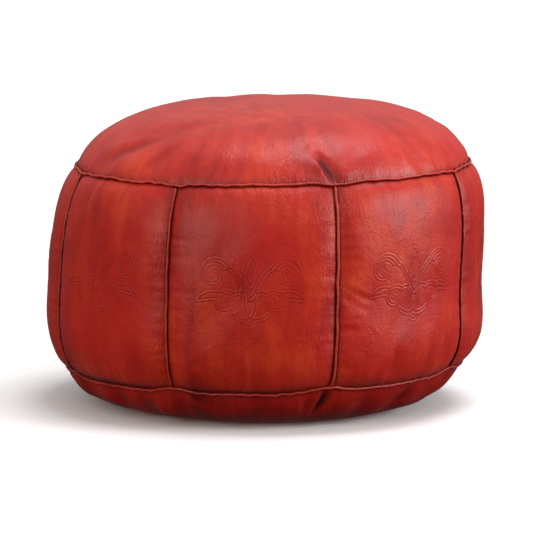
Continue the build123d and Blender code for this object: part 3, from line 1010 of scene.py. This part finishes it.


# vegetable-tanned goat leather, dyed by hand with a sponge and waxed: streaky colour from crimson to orange,
# painted shade in its seams, folds and pressed lines, a pebbled grain, fine wrinkles that run into the
# seams, and a soft shine on each of them
def goatLeather(kind):
    look = leathers[kind]
    material, tree, skin = newMaterial(look["name"])
    place = addNode(tree, "TexCoord").outputs["Object"]
    around = addNode(tree, "Attribute", attribute_name="around").outputs["Vector"]
    paintedShade = addNode(tree, "Attribute", attribute_name="paintedShade").outputs["Fac"]
    near = addNode(tree, "Attribute", attribute_name="near").outputs["Fac"]
    # sponge strokes run up and down the hide
    drawn = addNode(tree, "Mapping", {"Vector": around})
    drawn.inputs["Scale"].default_value = (1.0, 1.0, 0.22)
    strokes = addNode(tree, "TexNoise", {"Vector": drawn.outputs["Vector"]}, Scale=perMm(24), Detail=5.0,
                      Roughness=0.6, Distortion=0.4)
    clouds = addNode(tree, "TexNoise", {"Vector": place}, Scale=perMm(95), Detail=3.0, Roughness=0.5,
                     Distortion=0.5)
    mottle = addNode(tree, "TexNoise", {"Vector": place}, Scale=perMm(9), Detail=5.0, Roughness=0.7)
    both = addNode(tree, "Math", {0: strokes.outputs["Fac"], 1: clouds.outputs["Fac"]}, operation="ADD")
    mixed = addNode(tree, "Math", {0: mottle.outputs["Fac"], 2: both.outputs["Value"]},
                    operation="MULTIPLY_ADD")
    mixed.inputs[1].default_value = 0.35
    scaled = addNode(tree, "MapRange", {"Value": mixed.outputs["Value"]}, From_Min=0.80, From_Max=1.55)
    colour = colourRamp(tree, scaled.outputs["Result"], list(zip((0.10, 0.38, 0.62, 0.92), look["tones"])))
    hue = addNode(tree, "TexNoise", {"Vector": place}, Scale=perMm(130), Detail=2.0)
    cooler = addNode(tree, "MapRange", {"Value": hue.outputs["Fac"]}, From_Min=0.42, From_Max=0.66,
                     To_Max=0.7)
    tinted = addNode(tree, "MixRGB", {"Fac": cooler.outputs["Result"], "Color1": colour},
                     Color2=linear(look["cool"]))
    # painted shade: the colour is multiplied darker in seams, folds, pressed lines and down the welt's sides
    withPaintedShade = addNode(tree, "MixRGB", {"Fac": paintedShade, "Color1": tinted.outputs["Color"]}, blend_type="MULTIPLY",
                   Color2=linear(look["paintedShadeColour"]))
    tree.links.new(withPaintedShade.outputs["Color"], skin.inputs["Base Color"])
    # fine wrinkles 3 mm apart that run into the seams, strongest near them and in squeezed patches
    ruck = addNode(tree, "Mapping", {"Vector": around})
    ruck.inputs["Scale"].default_value = (1.0, 1.0, 0.3)
    rucks = addNode(tree, "TexNoise", {"Vector": ruck.outputs["Vector"]}, Scale=perMm(3.4), Detail=3.0,
                    Roughness=0.55, Distortion=0.8)
    patch = addNode(tree, "TexNoise", {"Vector": place}, Scale=perMm(48), Detail=2.0)
    patchy = addNode(tree, "MapRange", {"Value": patch.outputs["Fac"]}, From_Min=0.42, From_Max=0.62,
                     To_Min=0.15)
    often = addNode(tree, "Math", {0: near, 1: patchy.outputs["Result"]}, operation="MULTIPLY")
    ruckHeight = addNode(tree, "Math", {0: rucks.outputs["Fac"], 1: often.outputs["Value"]},
                         operation="MULTIPLY")
    # the grain of goat leather is 0.6 to 1 mm; it is drawn at 2 mm, the finest that still shows
    grain = addNode(tree, "TexVoronoi", {"Vector": place}, feature="SMOOTH_F1", Scale=perMm(2.0))
    fine = addNode(tree, "TexNoise", {"Vector": place}, Scale=perMm(5), Detail=4.0, Roughness=0.6)
    soft = addNode(tree, "TexNoise", {"Vector": place}, Scale=perMm(24), Detail=3.0, Roughness=0.5,
                   Distortion=0.8)
    relief = [(soft.outputs["Fac"], 0.4, 0.0020), (ruckHeight.outputs["Value"], 0.8, 0.0022),
              (fine.outputs["Fac"], 0.35, 0.0006), (grain.outputs["Distance"], 0.4, 0.0005)]
    normal = None
    for socket, strength, distance in relief:
        links = {"Height": socket, "Normal": normal} if normal else {"Height": socket}
        normal = addNode(tree, "Bump", links, Strength=strength, Distance=distance).outputs["Normal"]
    tree.links.new(normal, skin.inputs["Normal"])
    shine = addNode(tree, "MapRange", {"Value": mottle.outputs["Fac"]}, To_Min=look["roughness"] - 0.10,
                    To_Max=look["roughness"] + 0.10)
    tree.links.new(shine.outputs["Result"], skin.inputs["Roughness"])
    skin.inputs["IOR"].default_value = 1.46
    skin.inputs["Specular IOR Level"].default_value = look["specular"]
    skin.inputs["Sheen Weight"].default_value = look["sheen"]
    skin.inputs["Sheen Roughness"].default_value = 0.4
    skin.inputs["Sheen Tint"].default_value = linear("#FFC8C0")
    skin.inputs["Coat Weight"].default_value = look["coat"]
    skin.inputs["Coat Roughness"].default_value = 0.28
    return material


# spun or woven cotton: matt, with a fine crossed weave and a little fluff that lightens it at its edges
def spunCotton(name, dark, light, pitch, roughness):
    material, tree, cloth = newMaterial(name)
    place = addNode(tree, "TexCoord").outputs["Object"]
    perWave = 2 * math.pi / 20 * perMm(pitch)  # a wave texture repeats after 2 pi / 20 at scale 1
    waves = [addNode(tree, "TexWave", {"Vector": place}, bands_direction=way, Scale=perWave, Distortion=0.4)
             for way in ("X", "Z")]
    weave = addNode(tree, "Math", {0: waves[0].outputs["Fac"], 1: waves[1].outputs["Fac"]},
                    operation="MULTIPLY")
    slubs = addNode(tree, "TexNoise", {"Vector": place}, Scale=perMm(12), Detail=4.0)
    shade = addNode(tree, "MixRGB", {"Fac": slubs.outputs["Fac"]}, Color1=linear(dark), Color2=linear(light))
    tree.links.new(shade.outputs["Color"], cloth.inputs["Base Color"])
    bump = addNode(tree, "Bump", {"Height": weave.outputs["Value"]}, Strength=0.5, Distance=0.0003)
    tree.links.new(bump.outputs["Normal"], cloth.inputs["Normal"])
    cloth.inputs["Roughness"].default_value = roughness
    cloth.inputs["Sheen Weight"].default_value = 0.25
    return material


# tumbled cast brass of a heavy zip: warm and slightly dull, with darker patches where it has tarnished
def castBrass():
    material, tree, metal = newMaterial("castBrass")
    place = addNode(tree, "TexCoord").outputs["Object"]
    patches = addNode(tree, "TexNoise", {"Vector": place}, Scale=perMm(3), Detail=5.0)
    colour = colourRamp(tree, patches.outputs["Fac"], [(0.3, "#8A6A3A"), (0.7, "#C9A35E")])
    tree.links.new(colour, metal.inputs["Base Color"])
    shine = addNode(tree, "MapRange", {"Value": patches.outputs["Fac"]}, To_Min=0.42, To_Max=0.28)
    tree.links.new(shine.outputs["Result"], metal.inputs["Roughness"])
    metal.inputs["Metallic"].default_value = 1.0
    bump = addNode(tree, "Bump", {"Height": patches.outputs["Fac"]}, Strength=0.2, Distance=0.0001)
    tree.links.new(bump.outputs["Normal"], metal.inputs["Normal"])
    return material


def paint(pieces, material):
    for piece in pieces:
        piece.data.materials.clear()
        piece.data.materials.append(material)


def paintNodes(nodes, material):
    for node in nodes:
        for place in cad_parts[node].material_slots:
            place.material = material


say("leather panels")
sides = [sidePanel(i) for i in range(drum["panels"])]
crown = crownPanel()
bases = [baseHalf(-1, "basePanelFront", "base_panel_front"), baseHalf(1, "basePanelBack", "base_panel_back")]
say("welts")
welts = [sideWelt(i) for i in range(drum["panels"])]
welts += [roundWelt("crownWelt", "crown_welt", crownSeamAt, 1),
          roundWelt("baseWelt", "base_welt", baseSeamAt, 2)]
say("stitching")
threads = allStitching()
say("liner and wadding")
bag, bagThreads = linerBag()
wadding = waddingFill()
say("materials")
paint(sides, goatLeather("side"))
paint([crown], goatLeather("crown"))
paint(bases, goatLeather("base"))
paint(welts, goatLeather("welt"))
paint(threads, spunCotton("waxedThread", "#5A120C", "#7A1C12", 0.6, 0.6))
paint(bag, spunCotton("linerCotton", "#C9BDA0", "#D8CDB4", 1.2, 0.85))
paint([bagThreads], spunCotton("cottonThread", "#D8CFB8", "#E6DEC8", 0.6, 0.85))
paint([wadding], spunCotton("cottonWadding", "#DAD3C2", "#E8E2D4", 6.0, 0.95))
paintNodes(["zip_tape_front", "zip_tape_back"], spunCotton("zipTape", "#3A0C0A", "#4C120E", 0.8, 0.8))
paintNodes(["zip_teeth_front", "zip_teeth_back", "zip_top_stops", "zip_bottom_stop", "zip_slider",
            "zip_pull"], castBrass())

studio = {"azimuth": 2.4, "elevation": 8.265, "distance": 4.5, "aimHeight": 0.1536, "aside": 0.0121,
          "roll": 0.635, "frameWidth": 0.6467, "floor": "#F6F6F6",
          "world": [(0.46, "#5A5A5A"), (0.56, "#8A8A8A"), (0.80, "#D8D8D8")]}  # from below to straight up


def aimAt(lamp, place, aim):
    way = np.array(place) - np.array(aim)
    lamp.location = place
    lamp.rotation_euler = (math.atan2(math.hypot(way[0], way[1]), way[2]), 0, math.atan2(way[0], -way[1]))


def studioLight(name, kind, place, power, colour, **settings):
    light = bpy.data.lights.new(name, kind)
    light.energy = power
    light.color = linear(colour)[:3]
    for key, value in settings.items():
        setattr(light, key, value)
    lamp = bpy.data.objects.new(name, light)
    bpy.context.scene.collection.objects.link(lamp)
    aimAt(lamp, place, (0, 0, 0.2))


def studioSet():
    scene = bpy.context.scene
    bpy.ops.object.select_all(action="DESELECT")
    bpy.ops.mesh.primitive_plane_add(size=80)
    floor = bpy.context.object
    floor.name = "floor"
    white, tree, paper = newMaterial("paperBackdrop")
    paper.inputs["Base Color"].default_value = linear(studio["floor"])
    paper.inputs["Roughness"].default_value = 0.95
    paint([floor], white)
    floor.visible_glossy = floor.visible_diffuse = False  # the lights light the leather, not the paper
    world = bpy.data.worlds.new("studio")
    world.use_nodes = True
    sky = world.node_tree
    up = addNode(sky, "SeparateXYZ", {"Vector": addNode(sky, "TexCoord").outputs["Generated"]})
    level = addNode(sky, "MapRange", {"Value": up.outputs["Z"]}, From_Min=-1.0)
    shade = colourRamp(sky, level.outputs["Result"], studio["world"])
    sky.links.new(shade, sky.nodes["Background"].inputs["Color"])
    scene.world = world
    studioLight("overhead", "SUN", (0.7, 0.3, 3.4), 1.65, "#FFFFFF", angle=math.radians(30))
    studioLight("rightKey", "AREA", (4.7, -1.0, 1.5), 200, "#FFFFFF", shape="DISK", size=2.4,
                specular_factor=0.5)
    studioLight("leftFill", "AREA", (-2.4, -3.8, 1.2), 92, "#FFEEE0", shape="DISK", size=2.6,
                specular_factor=0.4)
    camera = bpy.data.cameras.new("camera")
    eye = bpy.data.objects.new("camera", camera)
    scene.collection.objects.link(eye)
    turn, tip, away = math.radians(studio["azimuth"]), math.radians(studio["elevation"]), studio["distance"]
    back = np.array([math.sin(turn) * math.cos(tip), -math.cos(turn) * math.cos(tip), math.sin(tip)])
    right = np.array([math.cos(turn), math.sin(turn), 0])
    eye.location = np.array([0, 0, studio["aimHeight"]]) + right * studio["aside"] + away * back
    roll = Matrix.Rotation(math.radians(studio["roll"]), 3, "Z")
    eye.rotation_euler = (Euler((math.pi / 2 - tip, 0, turn)).to_matrix() @ roll).to_euler()
    camera.sensor_width = 36.0
    camera.lens = camera.sensor_width * away / studio["frameWidth"]
    camera.clip_end = 200
    scene.camera = eye
    scene.view_settings.view_transform = "Standard"


studioSet()
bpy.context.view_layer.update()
say("done")
